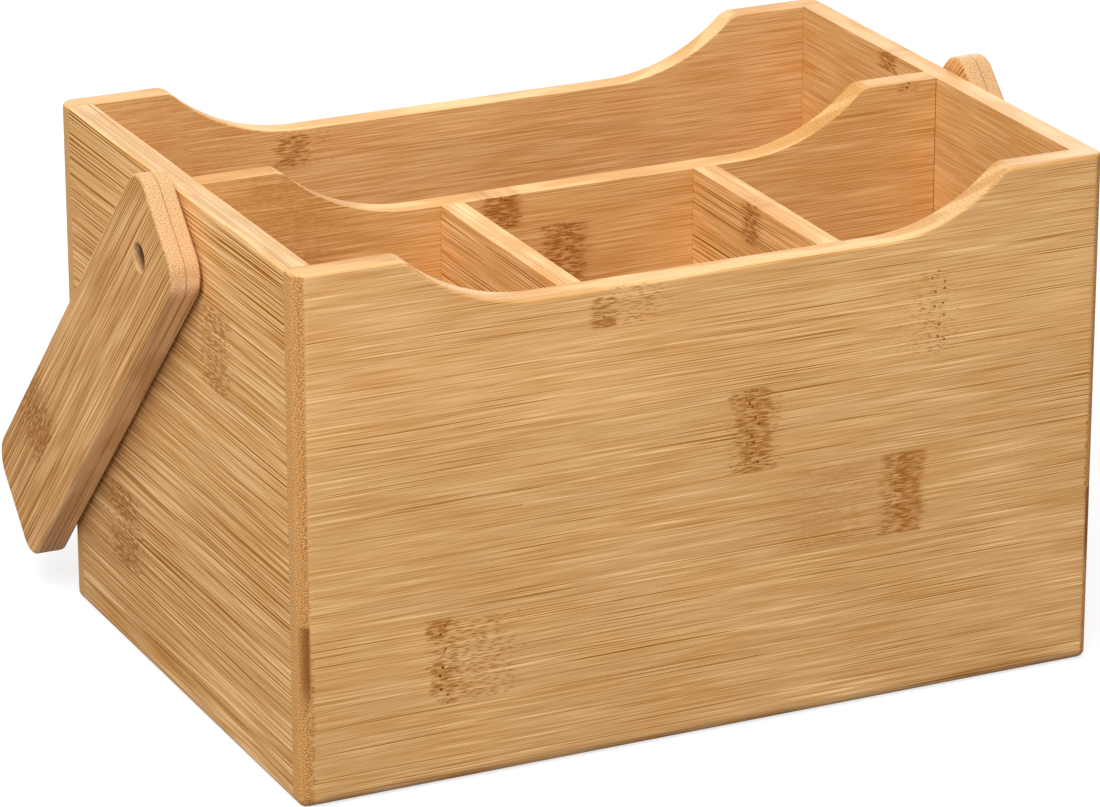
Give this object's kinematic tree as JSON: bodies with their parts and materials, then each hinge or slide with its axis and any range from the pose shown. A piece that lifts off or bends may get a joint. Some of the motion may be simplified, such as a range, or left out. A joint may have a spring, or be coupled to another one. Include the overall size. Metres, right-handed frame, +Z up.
{
  "type": "kitchen utensil organizer",
  "caption": "Rectangular bamboo utensil caddy with scooped panels, small front wells, a long rear well and a swinging carry handle with a round grip bar.",
  "frame": {"origin": "middle of the box's underside, on the surface that the caddy stands on", "axes": "+Z up, +X to the right seen from the front, -Y towards the front with the small wells"},
  "size_m": [0.2812, 0.2196, 0.1663],
  "materials": {
    "bamboo_box": "edge-glued bamboo boards, sanded and clear sealed, satin",
    "bamboo_arm": "two-ply bamboo board, sanded and clear sealed, satin",
    "bamboo_grip": "turned bamboo, sanded and clear sealed, satin",
    "dowel_wood": "plain hardwood dowel, unfinished",
    "screw_steel": "zinc plated steel",
    "washer_nylon": "natural nylon"
  },
  "bodies": {
    "box": {"front_panel": "bamboo_box", "back_panel": "bamboo_box", "left_panel": "bamboo_box", "right_panel": "bamboo_box", "base_panel": "bamboo_box", "middle_divider": "bamboo_box", "left_cross_divider": "bamboo_box", "right_cross_divider": "bamboo_box", "left_pivot_screw": "screw_steel", "right_pivot_screw": "screw_steel", "left_washer": "washer_nylon", "right_washer": "washer_nylon"},
    "handle": {"left_arm": "bamboo_arm", "right_arm": "bamboo_arm", "grip_bar": "bamboo_grip", "left_grip_dowel": "dowel_wood", "right_grip_dowel": "dowel_wood"}
  },
  "joints": [
    {"name": "handle_swing", "type": "hinge", "parent": "box", "child": "handle", "pos_m": [0, 0, 0.141], "axis": [1, 0, 0], "range_deg": [0, 270.9]}
  ]
}
